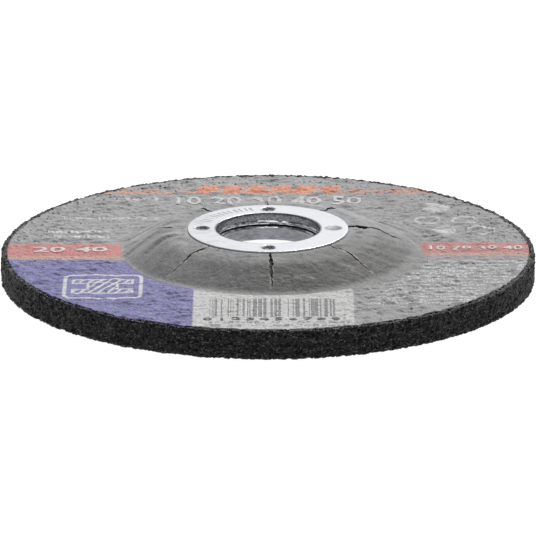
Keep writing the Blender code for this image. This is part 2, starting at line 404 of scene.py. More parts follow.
def numerals(name, words, left, right, low, high, paper, weight=0.03):
    """Plain numerals as a thin film that follows the wrinkles of the paper."""
    bpy.ops.object.select_all(action="DESELECT")
    bpy.ops.object.text_add(location=(0, 0, 0))
    film = bpy.context.object
    film.name = name
    film.data.body = words
    film.data.size = 1.0
    film.data.offset = weight
    film.data.resolution_u = 3
    bpy.ops.object.convert(target="MESH")
    spots = places(film)
    spots -= spots.min(axis=0)
    spots *= np.array([right - left, high - low, 0]) / np.maximum(spots.max(axis=0), 1e-9)
    put(film, spots + np.array([left, low, 0]))
    bpy.ops.object.mode_set(mode="EDIT")
    for axis, start, end in ((0, left, right), (1, low, high)):
        for step in range(1, int((end - start) / FILM_STEP)):
            place = [0.0, 0.0, 0.0]
            place[axis] = (start + FILM_STEP * step) * MM
            bpy.ops.mesh.select_all(action="SELECT")
            bpy.ops.mesh.bisect(plane_co=place, plane_no=(1 - axis, axis, 0))
    bpy.ops.mesh.select_all(action="SELECT")
    bpy.ops.mesh.remove_doubles(threshold=0.00002)
    bpy.ops.object.mode_set(mode="OBJECT")
    put(film, places(film) + np.array([0, 0, DROP_HEIGHT]))
    drape = film.modifiers.new("drape", "SHRINKWRAP")
    drape.target = paper
    drape.wrap_method = "PROJECT"
    drape.use_project_z = True
    drape.use_positive_direction = False
    drape.use_negative_direction = True
    bpy.ops.object.modifier_apply(modifier=drape.name)
    put(film, places(film) + np.array([0, 0, FILM_LIFT]))
    solid = film.modifiers.new("thickness", "SOLIDIFY")
    solid.thickness = FILM_THICKNESS * MM
    solid.offset = -1
    bpy.ops.object.modifier_apply(modifier=solid.name)
    return film


# Wheel

RIM_STEPS = 1296
RIM_PACE = 0.25
UNDER_PACE = 0.8
HIDDEN_PACE = 2.5
RIM_ROUNDING = 0.45
PAPER_CLEARANCE = 0.5       # the body stays this far below the paper, clear of its dents
GRAIN_SIZE = 0.48
GRAIN_DEPTH = 0.24
FLAT_GRAIN = (-0.2, 0.12)   # deepest and highest grain on the grinding face


def make_wheel():
    under_paper = WHEEL_FACE - PAPER_CLEARANCE
    top_rim = LABEL_RADIUS - 1.7
    under_rim = WHEEL_RADIUS - 1.2
    rim = paced(rounded([
        (top_rim, under_paper, 0), (top_rim + 0.4, WHEEL_FACE - 0.1, 0.1),
        (LABEL_RADIUS - 0.4, FACE, 0.1), (WHEEL_RADIUS, FACE, RIM_ROUNDING),
        (WHEEL_RADIUS, 0.0, RIM_ROUNDING), (under_rim, 0.0, 0),
    ], 3), RIM_PACE)
    under = paced([Vector((under_rim - 0.4, 0)), Vector((MOUTH_RADIUS + 1.2, 0))], UNDER_PACE)
    recess = paced(rounded([
        (MOUTH_RADIUS + 0.8, 0.0, 0), (MOUTH_RADIUS, 0.0, 3.0),
        (ROOF_RADIUS, RECESS_ROOF, 2.0), (BODY_BORE, RECESS_ROOF, 0),
    ], 6), UNDER_PACE)
    hub_top = under_paper + HUB_FACE - FACE
    hub = rounded([
        (BODY_BORE, hub_top, 0), (SHOULDER_RADIUS, hub_top, SHOULDER_ROUNDING),
        (CONE_FOOT, under_paper, FOOT_ROUNDING), (CONE_FOOT + 3, under_paper, 0),
    ], 6)
    top = [Vector((CONE_FOOT + 4, under_paper)), Vector((top_rim - 0.6, under_paper))]
    wall = paced([recess[-1], hub[0]], 1.2)
    centre = recess + wall[1:-1] + paced(hub, HIDDEN_PACE)
    wheel = bridged("wheel_grain", [
        spun("rim_zone", rim, RIM_STEPS),
        spun("under_zone", under, RIM_STEPS // 3),
        spun("centre_zone", centre, RIM_STEPS // 4),
        spun("top_zone", paced(top, HIDDEN_PACE), RIM_STEPS // 3),
    ])
    roughen(wheel)
    return wheel


def roughen(wheel):
    """Pushes the grain in and out along the surface's own direction."""
    spots = places(wheel)
    normals = np.empty(len(wheel.data.vertices) * 3)
    wheel.data.vertices.foreach_get("normal", normals)
    normals = normals.reshape(-1, 3)
    for i, (x, y, z) in enumerate(spots):
        r = math.hypot(x, y)
        under_label = z > WHEEL_FACE - 0.7 and r < LABEL_RADIUS - 1.0
        by_ring = r < BODY_BORE + 0.3 or (z > RECESS_ROOF - 0.3 and r < FLANGE_RADIUS + 0.5)
        if under_label or by_ring:
            continue
        gaps, cells = noise.voronoi(Vector((x, y, z)) / GRAIN_SIZE)
        own = noise.noise(cells[0] * 7.7)
        grain = 0.55 - gaps[0] + 0.9 * own
        if own < -0.22:
            grain -= 0.9
        grain += 0.5 * noise.noise(Vector((x, y, z)) / 2.2) + 0.9 * wave(x, y, z)
        push = GRAIN_DEPTH * grain - 0.06
        if z < 0.3:
            push = max(FLAT_GRAIN[0], min(push, FLAT_GRAIN[1]))
        spots[i] += normals[i] * push
    put(wheel, spots)
    wheel.data.shade_smooth()


# Centre ring

RING_STEPS = 360
RING_PACE = 0.42
CLAW_CIRCLE = 14.2
CLAW_RADIUS = 1.55
# Where each claw stands round the axis, and how its tear is turned
CLAWS = ((math.pi, 0.5), (math.pi / 2, 1.2), (-math.pi / 2, 0.1), (0, 0.8))


def make_ring(name, corners):
    path = paced(rounded(corners + corners[:1], 4), RING_PACE)[1:]
    ring = spun(name, path, RING_STEPS, closed=True)
    spots = places(ring)
    for i, (x, y, z) in enumerate(spots):
        if math.hypot(x, y) < BORE_RADIUS + 0.3:
            dent = 0.07 * wave(x / 1.5, y / 1.5, z / 1.2)
            spots[i, :2] *= 1 + dent / math.hypot(x, y)
    put(ring, spots)
    bpy.ops.object.mode_set(mode="EDIT")
    bpy.ops.mesh.select_all(action="SELECT")
    bpy.ops.mesh.normals_make_consistent(inside=False)
    bpy.ops.object.mode_set(mode="OBJECT")
    return ring


def make_upper_ring():
    top, under, end = upper_high.z, upper_high.z - SHEET, upper_low.z
    ring = make_ring("flange_ring_upper", [
        (COLLAR_RADIUS, (under + end) / 2, 0), (COLLAR_RADIUS, end, 0.18),
        (BORE_RADIUS, end, 0.18), (BORE_RADIUS, end + 0.52, 0.06),
        (BORE_RADIUS + 0.2, end + 0.82, 0.1), (BORE_RADIUS + 0.04, top, 0.3),
        (FLANGE_RADIUS, top, 0.08), (FLANGE_RADIUS, under, 0.1), (COLLAR_RADIUS, under, 0.1),
    ])
    punch_claws(ring)
    ring.data.shade_smooth()
    return ring


def make_lower_ring():
    bottom, roof, end = lower_low.z, lower_low.z + SHEET, lower_high.z
    ring = make_ring("flange_ring_lower", [
        (COLLAR_RADIUS, (roof + end) / 2, 0), (COLLAR_RADIUS, roof, 0.1),
        (FLANGE_RADIUS, roof, 0.15), (FLANGE_RADIUS, bottom, 0.15), (BORE_RADIUS, bottom, 0.32),
        (BORE_RADIUS + 0.04, end - 1.1, 0.5), (BORE_RADIUS, end - 0.36, 0.08),
        (BORE_RADIUS + 0.24, end, 0.08), (COLLAR_RADIUS, end, 0.1),
    ])
    ring.data.shade_smooth()
    return ring


def punch_claws(ring):
    """Four dished claws punched down through the flange; the right one stays nearly shut."""
    centres = [Vector((math.cos(place), math.sin(place))) * CLAW_CIRCLE for place, _ in CLAWS]
    bpy.ops.object.mode_set(mode="EDIT")
    bpy.ops.mesh.select_mode(type="FACE")
    bpy.ops.mesh.select_all(action="DESELECT")
    bm = bmesh.from_edit_mesh(ring.data)
    for face in bm.faces:
        middle = face.calc_center_median() / MM
        face.select = any((middle.xy - centre).length < CLAW_RADIUS + 0.5 for centre in centres)
    bmesh.update_edit_mesh(ring.data)
    bpy.ops.mesh.subdivide(number_cuts=2)
    bpy.ops.object.mode_set(mode="OBJECT")
    spots = places(ring)
    for i, (x, y, z) in enumerate(spots):
        if z < upper_high.z - SHEET - 0.01 or math.hypot(x, y) < BORE_RADIUS + 0.6:
            continue
        for (_, turn), centre in zip(CLAWS, centres):
            across = Vector((x, y)) - centre
            off = across.length
            if off > CLAW_RADIUS + 0.6:
                continue
            tear = Matrix.Rotation(turn, 2) @ across
            wobble = 0.18 * noise.noise(Vector((x, y, 0)) * 1.4)
            dish = smooth_step(CLAW_RADIUS + 0.15, 0.5, off + 0.4 * wobble)
            slot = smooth_step(0.5, 0.25, math.hypot(tear.x / 1.8, tear.y / 0.6) + wobble)
            nearly_shut = centre.x > 1
            fall = 0.12 * dish if nearly_shut else 0.7 * dish + 1.2 * slot
            burr = 0.0 if nearly_shut else 0.06 * noise.noise(Vector((x, y, 9)) * 2.5) * float(dish)
            spots[i, 2] = z - float(fall) + burr
    put(ring, spots)


# Finishes

class Finish:
    """One material whose pattern is laid out on the piece's own coordinates, in millimetres."""

    def __init__(self, name, colour, roughness, metallic=0.0, shine=0.5):
        self.material = bpy.data.materials.new(name)
        self.material.use_nodes = True
        self.tree = self.material.node_tree
        self.shader = self.tree.nodes["Principled BSDF"]
        self.shader.inputs["Base Color"].default_value = (*colour, 1)
        self.shader.inputs["Roughness"].default_value = roughness
        self.shader.inputs["Metallic"].default_value = metallic
        self.shader.inputs["Specular IOR Level"].default_value = shine
        coords = self.tree.nodes.new("ShaderNodeTexCoord")
        self.mm = self.vector("MULTIPLY", coords.outputs["Object"], (1000, 1000, 1000))
        self.x, self.y, self.z = self.split(self.mm)

    def feed(self, node, values):
        for socket, value in zip(node.inputs, values):
            if isinstance(value, bpy.types.NodeSocket):
                self.tree.links.new(value, socket)
            elif value is not None:
                socket.default_value = value
        return node

    def calc(self, operation, *values):
        node = self.tree.nodes.new("ShaderNodeMath")
        node.operation = operation
        return self.feed(node, values).outputs[0]

    def plus(self, a, b):
        return self.calc("ADD", a, b)

    def minus(self, a, b):
        return self.calc("SUBTRACT", a, b)

    def times(self, a, b):
        return self.calc("MULTIPLY", a, b)

    def over(self, a, b):
        return self.calc("DIVIDE", a, b)

    def larger(self, a, b):
        return self.calc("MAXIMUM", a, b)

    def smaller(self, a, b):
        return self.calc("MINIMUM", a, b)

    def absolute(self, a):
        return self.calc("ABSOLUTE", a)

    def fraction(self, a):
        return self.calc("FRACT", a)

    def off(self, value, middle):
        """How far the value is from the middle, to either side."""
        return self.absolute(self.minus(value, middle))

    def vector(self, operation, *values):
        node = self.tree.nodes.new("ShaderNodeVectorMath")
        node.operation = operation
        return self.feed(node, values).outputs[0]

    def split(self, vector):
        node = self.feed(self.tree.nodes.new("ShaderNodeSeparateXYZ"), [vector])
        return node.outputs[0], node.outputs[1], node.outputs[2]

    def join(self, x, y, z=0.0):
        return self.feed(self.tree.nodes.new("ShaderNodeCombineXYZ"), [x, y, z]).outputs[0]

    def cloud(self, place, size, detail=2.0, rough=0.5):
        """Soft noise about one half, its lumps as large as the size in millimetres."""
        node = self.tree.nodes.new("ShaderNodeTexNoise")
        self.tree.links.new(place, node.inputs["Vector"])
        node.inputs["Scale"].default_value = 1.0 / size
        node.inputs["Detail"].default_value = detail
        node.inputs["Roughness"].default_value = rough
        return node.outputs["Fac"]

    def cells(self, place, size, flat=False):
        """Distance to the middle of each cell, and a number of the cell's own."""
        node = self.tree.nodes.new("ShaderNodeTexVoronoi")
        node.voronoi_dimensions = "2D" if flat else "3D"
        self.tree.links.new(place, node.inputs["Vector"])
        node.inputs["Scale"].default_value = 1.0 / size
        red, _, _ = self.split(node.outputs["Color"])
        return node.outputs["Distance"], red

    def length(self, x, y):
        return self.calc("SQRT", self.plus(self.times(x, x), self.times(y, y)))

    def ramp(self, value, low, high, start=0.0, end=1.0):
        node = self.tree.nodes.new("ShaderNodeMapRange")
        return self.feed(node, [value, low, high, start, end]).outputs[0]

    def mix(self, share, below, above):
        node = self.tree.nodes.new("ShaderNodeMix")
        node.data_type = "RGBA"
        below = (*below, 1) if isinstance(below, tuple) else below
        above = (*above, 1) if isinstance(above, tuple) else above
        for name, value in (("Factor_Float", share), ("A_Color", below), ("B_Color", above)):
            socket = next(s for s in node.inputs if s.identifier == name)
            if isinstance(value, bpy.types.NodeSocket):
                self.tree.links.new(value, socket)
            else:
                socket.default_value = value
        return next(s for s in node.outputs if s.identifier == "Result_Color")

    def both(self, *masks):
        result = masks[0]
        for mask in masks[1:]:
            result = self.times(result, mask)
        return result

    def either(self, *masks):
        result = masks[0]
        for mask in masks[1:]:
            result = self.larger(result, mask)
        return result

    def colour(self, value):
        self.tree.links.new(value, self.shader.inputs["Base Color"])

    def rough(self, value):
        self.tree.links.new(value, self.shader.inputs["Roughness"])

    def bump(self, height, depth):
        """Fine relief; the height runs from 0 to 1 over the depth in millimetres."""
        node = self.tree.nodes.new("ShaderNodeBump")
        node.inputs["Distance"].default_value = depth * MM
        self.tree.links.new(height, node.inputs["Height"])
        self.tree.links.new(node.outputs["Normal"], self.shader.inputs["Normal"])


def grain_finish():
    finish = Finish("abrasive_grain", (0.012, 0.012, 0.012), 0.55, shine=0.35)
    near, own = finish.cells(finish.mm, 0.4)
    fine = finish.cloud(finish.mm, 0.5, 3.0, 0.7)
    dark = finish.mix(finish.ramp(fine, 0.36, 0.64), (0.007, 0.007, 0.007), (0.042, 0.042, 0.0425))
    dark = finish.mix(finish.ramp(own, 0.74, 0.98, 0.0, 0.8), dark, (0.15, 0.147, 0.142))
    pore = finish.either(finish.ramp(near, 0.48, 0.56), finish.ramp(own, 0.36, 0.32))
    finish.colour(finish.mix(finish.times(pore, 0.97), dark, (0.001, 0.001, 0.001)))
    # The glass fibre mesh shows through on the grinding face
    threads = [
        finish.ramp(finish.off(finish.fraction(finish.over(place, 3.8)), 0.5), 0.12, 0.3)
        for place in (finish.x, finish.y)
    ]
    mesh = finish.both(finish.smaller(*threads), finish.ramp(finish.z, 0.6, 0.4))
    grain = finish.plus(fine, finish.times(near, -1.2))
    finish.bump(finish.minus(grain, mesh), 0.3)
    return finish.material


GREY = (0.352, 0.352, 0.354)
DARKER_GREY = (0.315, 0.315, 0.317)
LIGHTER_GREY = (0.39, 0.39, 0.392)
PALE = (0.74, 0.74, 0.74)
RED = (0.62, 0.195, 0.175)
ORANGE = (0.80, 0.28, 0.15)
BLUE = (0.165, 0.16, 0.42)
WHITE = (0.625, 0.625, 0.62)
INK = (0.10, 0.10, 0.105)
BAND_EDGE = (0.34, 0.40, 0.42)
PAST_RIM = 60               # fields that run off the label's edge are drawn as far as this
WHITE_LEFT = -15.7
WHITE_RIGHT = 18.0
CLEAR_RADIUS = 31.6         # the fields and the small words leave the cone clear


class Print(Finish):
    """The label's print, laid down one colour over another."""

    def __init__(self):
        super().__init__("label_print", GREY, 0.62, shine=0.3)
        drift = self.tree.nodes.new("ShaderNodeTexNoise")
        self.tree.links.new(self.mm, drift.inputs["Vector"])
        drift.inputs["Scale"].default_value = 1.6
        drift.inputs["Detail"].default_value = 1.0
        shift = self.vector("SUBTRACT", drift.outputs["Color"], (0.5, 0.5, 0.5))
        shift = self.vector("MULTIPLY", shift, (0.35, 0.4, 0.0))
        self.px, self.py, _ = self.split(self.vector("ADD", self.mm, shift))
        self.wear = self.ramp(self.cloud(self.mm, 0.55, 3.0, 0.65), 0.36, 0.5, 0.45, 1.0)
        tone = self.cloud(self.mm, 6.0, 3.0, 0.6)
        self.paint = self.mix(self.ramp(tone, 0.3, 0.7), DARKER_GREY, LIGHTER_GREY)

    def edge(self, distance, soft=0.14):
        return self.ramp(distance, soft, -soft)

    def gap(self, x0, x1, y0, y1, lean=0.0, corner=0.0):
        """How far outside a field each place is, in millimetres; less than nothing inside."""
        x = self.px
        if lean:
            x = self.minus(x, self.times(self.minus(self.py, y0), lean))
        across = self.minus(self.off(x, (x0 + x1) / 2), (x1 - x0) / 2 - corner)
        along = self.minus(self.off(self.py, (y0 + y1) / 2), (y1 - y0) / 2 - corner)
        furthest = self.larger(across, along)
        if not corner:
            return furthest
        outside = self.length(self.larger(across, 0.0), self.larger(along, 0.0))
        return self.minus(self.plus(outside, self.smaller(furthest, 0.0)), corner)

    def field(self, x0, x1, y0, y1, lean=0.0):
        return self.edge(self.gap(x0, x1, y0, y1, lean))

    def outline(self, gap, width):
        return self.edge(self.minus(self.absolute(gap), width / 2), 0.1)

    def round_distance(self, x, y, radius):
        length = self.length(self.minus(self.px, x), self.minus(self.py, y))
        return self.minus(length, radius)

    def disc(self, x, y, radius):
        return self.edge(self.round_distance(x, y, radius))

    def ring(self, x, y, radius, width):
        return self.edge(self.minus(self.absolute(self.round_distance(x, y, radius)), width / 2))

    def rows(self, x0, x1, top, pitch, count, height, seed, letter=0.55):
        """Rows of small marks in place of small words."""
        down = self.over(self.minus(top, self.y), pitch)
        row = self.calc("FLOOR", down)
        within = self.off(self.minus(down, row), 0.5)
        line = self.ramp(within, height / 2 / pitch + 0.05, height / 2 / pitch - 0.05)
        words = self.cloud(self.join(self.x, self.times(row, 9.7), seed), 2.2, 0.0)
        spot = self.join(self.x, self.times(self.y, 0.3), self.times(row, 5.3))
        letters = self.cloud(spot, letter, 0.0)
        return self.both(
            self.field(x0, x1, top - pitch * count, top), line,
            self.ramp(words, 0.33, 0.38), self.ramp(letters, 0.42, 0.5, 0.05, 1.0),
        )

    def tint(self, factor):
        """Makes all the paint so far lighter or darker, and keeps its hue."""
        self.paint = self.vector("MULTIPLY", self.paint, self.join(factor, factor, factor))

    def lay(self, mask, colour, strength=1.0, worn=True):
        share = self.both(mask, self.wear) if worn else mask
        if strength != 1.0:
            share = self.times(share, strength)
        self.paint = self.mix(share, self.paint, colour)


def lay_fields(ink, clear):
    """The two bands with their paler strips, and the blue and the white field."""
    ink.lay(ink.field(-PAST_RIM, -31.6, -4.7, 3.8), RED)
    ink.lay(ink.field(-PAST_RIM, -31.6, -7.3, -4.7), ORANGE, 0.45)
    ink.lay(ink.field(32.5, PAST_RIM, -1.9, 5.2), RED)
    ink.lay(ink.field(32.9, PAST_RIM, -4.8, -1.9), ORANGE, 0.5)
    ink.lay(ink.field(32.2, 33.3, -4.8, 5.2), BAND_EDGE, 0.7)
    ink.lay(ink.both(ink.field(-PAST_RIM, WHITE_LEFT, -PAST_RIM, -7.45), clear), BLUE)
    ink.lay(ink.both(ink.field(WHITE_LEFT, WHITE_RIGHT, -PAST_RIM, -25), clear), WHITE)


def lay_stripe(ink):
    """The stripe at the back with a row of leaning blocks."""
    middle = ink.plus(43.6, ink.times(ink.px, 0.013))
    stripe = ink.edge(ink.minus(ink.off(ink.py, middle), 1.0))
    ink.lay(ink.both(stripe, ink.field(-36.3, 36.5, 40, 50)), ORANGE, 0.7)
    blocks = [
        ink.field(x, x + 4.4, 42.3, 48.5, lean=0.35) for x in (-16.8, -11.4, -6.0, -0.6, 4.8, 10.2)
    ]
    ink.lay(ink.either(*blocks), ORANGE)


def lay_bars(ink):
    """Plain bars and two rows of small marks in the white field."""
    uneven = ink.cloud(ink.join(ink.px, 0.0), 1.6, 2.0, 0.6)
    phase = ink.fraction(ink.plus(ink.over(ink.px, 1.15), ink.times(uneven, 4.0)))
    bars = ink.ramp(ink.off(phase, 0.5), 0.26, 0.2)
    ink.lay(ink.both(ink.field(-12.2, 14, -47.4, -35), bars), INK, 0.85)
    ink.lay(ink.rows(-12, 17, -49.9, 2.3, 2, 1.4, 3.0), INK, 0.7)


def lay_small_words(ink, clear):
    ink.lay(ink.rows(-45, -23.7, 24.4, 1.9, 1, 1.3, 5.0), PALE, 0.7)
    ink.lay(ink.rows(-47.9, -34, 14.9, 3.4, 2, 1.7, 7.0, letter=0.7), PALE, 0.8)
    small = ink.both(ink.rows(20, PAST_RIM, -7.8, 2.06, 15, 0.95, 11.0, letter=0.33), clear)
    start = ink.calc("GREATER_THAN", ink.px, ink.ramp(ink.py, -38, -8.5, 20.8, 34.3))
    ink.lay(ink.both(small, start), PALE, 0.95)
    ink.lay(ink.rows(-35, -24.4, 38.8, 2.2, 1, 1.5, 13.0), PALE, 0.8)


def lay_picture_marks(ink):
    """Plain discs and rings in the places of the small pictures."""
    ink.lay(ink.disc(37, 31.2, 3.1), PALE, 0.9)
    ink.lay(ink.ring(34.9, 22.2, 2.6, 0.55), PALE, 0.85)
    ink.lay(ink.ring(43.1, 22.2, 2.6, 0.65), PALE, 0.85)
    ink.lay(ink.disc(38.4, 14, 2.6), PALE, 0.9)
    ink.lay(ink.ring(46.5, 14.3, 2.6, 0.9), PALE, 0.9)


def lay_framed_beam(ink):
    """A frame with the hatched section of a beam: its top, its web and its foot."""
    frame_line = ink.outline(ink.gap(-43.0, -26.9, -34.6, -18.5, corner=1.8), 0.8)
    section = ink.gap(-41.3, -28.7, -24.3, -21.6)
    for part in ((-38.1, -31.9, -29.0, -24.0), (-41.3, -28.7, -31.0, -28.4)):
        section = ink.smaller(section, ink.gap(*part))
    lean = ink.minus(ink.px, ink.times(ink.py, 0.52))
    stripes = ink.fraction(ink.over(lean, 1.9))
    hatch = ink.ramp(ink.off(stripes, 0.5), 0.22, 0.14)
    hatch = ink.both(hatch, ink.edge(section))
    ink.lay(ink.either(frame_line, ink.outline(section, 0.6), hatch), PALE, 0.9, worn=False)


def wear_paper(ink, radius):
    """Pits, specks, hairs and strokes all over the paper."""
    near, own = ink.cells(ink.mm, 2.0, flat=True)
    crowd = ink.ramp(radius, 30, 57, 1.0, 0.82)
    frayed = ink.ramp(ink.cloud(ink.mm, 0.5), 0.3, 0.7, -0.05, 0.07)
    size = ink.plus(ink.ramp(own, 0.8, 1.0, 0.02, 0.16), frayed)
    inside = ink.ramp(ink.minus(near, size), 0.03, -0.03)
    pit = ink.both(ink.calc("GREATER_THAN", own, crowd), inside)
    ink.lay(pit, (0.02, 0.02, 0.02), worn=False)
    # Fine pits, more of them near the rim at the back
    near, own = ink.cells(ink.vector("MULTIPLY", ink.mm, (1.0, 0.6, 1.0)), 1.2, flat=True)
    crowd = ink.larger(ink.ramp(radius, 42, 56, 1.0, 0.5), ink.ramp(ink.y, 14, 2, 0.0, 1.0))
    pit = ink.both(ink.calc("GREATER_THAN", own, crowd), ink.ramp(near, 0.23, 0.15))
    ink.lay(pit, (0.03, 0.03, 0.03), 0.95, worn=False)
    fleck = ink.cloud(ink.mm, 0.5, 3.0, 0.7)
    ink.tint(ink.ramp(fleck, 0.33, 0.67, 0.8, 1.2))
    hair = ink.cloud(ink.vector("MULTIPLY", ink.mm, (0.45, 1.3, 1.0)), 0.8, 2.0, 0.6)
    hair = ink.ramp(hair, 0.355, 0.27, 0.0, 0.75)
    ink.tint(ink.minus(1.0, ink.both(hair, ink.ramp(radius, 20, 50, 0.2, 1.0))))
    stroke = ink.cloud(ink.vector("MULTIPLY", ink.mm, (0.3, 1.1, 1.0)), 1.2, 3.0, 0.6)
    stroke = ink.ramp(stroke, 0.41, 0.33, 0.0, 0.4)
    ink.tint(ink.minus(1.0, ink.both(stroke, ink.ramp(ink.x, 8, 26))))


def shade_paper(ink, radius):
    """Darker towards the right of the disc; painted light makes the left of the cone paler."""
    ink.tint(ink.ramp(ink.x, 4, 34, 1.0, 0.87))
    # Painted light: the left side of the cone is made paler
    painted_light_side = ink.both(
        ink.ramp(radius, 20, 24), ink.ramp(radius, 31.5, 29),
        ink.ramp(ink.x, -6, -20), ink.ramp(ink.y, -12, 0),
    )
    ink.tint(ink.ramp(painted_light_side, 0, 1, 1.0, 1.28))


def shade_cone_front(ink, radius):
    """Painted shade on the cone's front, mottled; on the right it reaches a little past the cone's
    foot.
    """
    on_right = ink.ramp(ink.x, 12, 20)
    patchy = ink.times(ink.minus(ink.cloud(ink.mm, 2.6, 2.0), 0.5), ink.times(on_right, 4.0))
    shade_end = ink.ramp(
        ink.plus(radius, patchy),
        ink.ramp(on_right, 0, 1, 33.2, 35.6), ink.ramp(on_right, 0, 1, 32.4, 30.2),
    )
    leaning = ink.times(ink.larger(ink.x, 0.0), 0.35)
    leaning = ink.plus(leaning, ink.times(ink.smaller(ink.x, 0.0), 0.2))
    towards_front = ink.ramp(ink.minus(ink.y, leaning), 3, -18)
    shade_strength = ink.larger(ink.ramp(ink.x, -14, 8, 0.27, 1.0), ink.ramp(ink.x, -17, -24, 0.27, 0.67))
    shade_strength = ink.larger(shade_strength, ink.ramp(radius, 24, 22, 0.0, 0.75))
    # Painted shade, strongest towards the front of the cone
    cone_shade = ink.both(ink.ramp(radius, 17, 19), shade_end, towards_front, shade_strength)
    mottle = ink.ramp(ink.cloud(ink.mm, 1.5, 6.0, 0.8), 0.36, 0.64, 0.76, 1.24)
    shaded_paint = ink.vector("MULTIPLY", ink.paint, (0.44, 0.43, 0.417))
    shaded_paint = ink.vector("MULTIPLY", shaded_paint, ink.join(mottle, mottle, mottle))
    ink.paint = ink.mix(cone_shade, ink.paint, shaded_paint)
    # Painted shade on the hub's ledge at the back, beside the flange
    ledge_shade = ink.both(ink.ramp(radius, 21.5, 20), ink.ramp(ink.y, 4, 9))
    ink.tint(ink.ramp(ledge_shade, 0, 1, 1.0, 0.8))


def tear_and_highlight_slits(ink):
    """A short tear past the end of the right front slit, and painted highlights along the paper's
    cut edges beside the front slits.
    """
    tear = ink.field(24.45, 24.75, -23.4, -19.6, lean=-0.447)
    ink.lay(tear, (0.03, 0.03, 0.03), 0.9)
    frayed = ink.ramp(ink.cloud(ink.mm, 0.9, 3.0, 0.65), 0.44, 0.56)
    for drift in (SLIT_DRIFTS_DEG[0], 45 + SLIT_DRIFTS_DEG[1], SLIT_DRIFTS_DEG[7] - 45):
        turn = math.radians(drift - 90)
        cos, sin = math.cos(turn), math.sin(turn)
        along = ink.plus(ink.times(ink.x, cos), ink.times(ink.y, sin))
        across = ink.absolute(ink.minus(ink.times(ink.x, sin), ink.times(ink.y, cos)))
        # Painted highlight along the cut edges beside each front slit
        cut_edge_highlight = ink.ramp(ink.off(across, ink.ramp(along, 21, SLIT_TIP, 0.42, 0.2)), 0.3, 0.14)
        reach = ink.both(ink.ramp(along, 20, 22), ink.ramp(along, SLIT_TIP + 0.6, SLIT_TIP))
        ink.lay(ink.both(cut_edge_highlight, frayed, reach), (0.56, 0.53, 0.46), 0.85, worn=False)


def scuff_cone(ink, radius):
    """Pale scuffs low on the cone's front."""
    scuff = ink.cloud(ink.vector("MULTIPLY", ink.mm, (0.6, 1.0, 1.0)), 0.7, 4.0, 0.75)
    low_cone = ink.ramp(ink.off(radius, 27.0), 1.8, 0.4)
    patch = ink.ramp(ink.cloud(ink.mm, 7.0, 1.0), 0.46, 0.56)
    patch = ink.both(low_cone, patch, ink.ramp(ink.y, -10, -18))
    ink.lay(ink.both(patch, ink.ramp(scuff, 0.5, 0.58, 0.0, 0.7)), (0.42, 0.41, 0.38), worn=False)


def label_finish():
    ink = Print()
    clear = ink.ramp(ink.round_distance(0.3, -1.1, CLEAR_RADIUS), -0.12, 0.12)
    lay_fields(ink, clear)
    lay_stripe(ink)
    lay_bars(ink)
    lay_small_words(ink, clear)
    lay_picture_marks(ink)
    # From here on lines are crisp
    ink.px, ink.py = ink.x, ink.y
    lay_framed_beam(ink)
    radius = ink.length(ink.x, ink.y)
    wear_paper(ink, radius)
    shade_paper(ink, radius)
    shade_cone_front(ink, radius)
    tear_and_highlight_slits(ink)
    scuff_cone(ink, radius)
    ink.colour(ink.paint)
    on_cone = ink.both(ink.ramp(radius, 17, 19), ink.ramp(radius, 33.2, 32.4))
    grain = ink.minus(ink.cloud(ink.mm, 1.1, 3.0, 0.6), 0.5)
    ink.bump(ink.times(grain, ink.ramp(on_cone, 0, 1, 1.0, 0.42)), 0.44)
    return ink.material


def film_finish(name, colour):
    finish = Finish(name, colour, 0.62, shine=0.3)
    worn = finish.cloud(finish.mm, 0.4, 4.0, 0.7)
    dull = tuple(0.5 * (value + 0.3) for value in colour)
    finish.colour(finish.mix(finish.ramp(worn, 0.36, 0.56), dull, colour))
    finish.bump(finish.cloud(finish.mm, 0.6, 4.0, 0.7), 0.15)
    return finish.material


# Height and width of the painted highlights along the collars' edges
COLLAR_HIGHLIGHTS = (
    (upper_low.z + 0.1, 0.16), (upper_low.z + 0.62, 0.24), (lower_high.z - 0.15, 0.24),
)


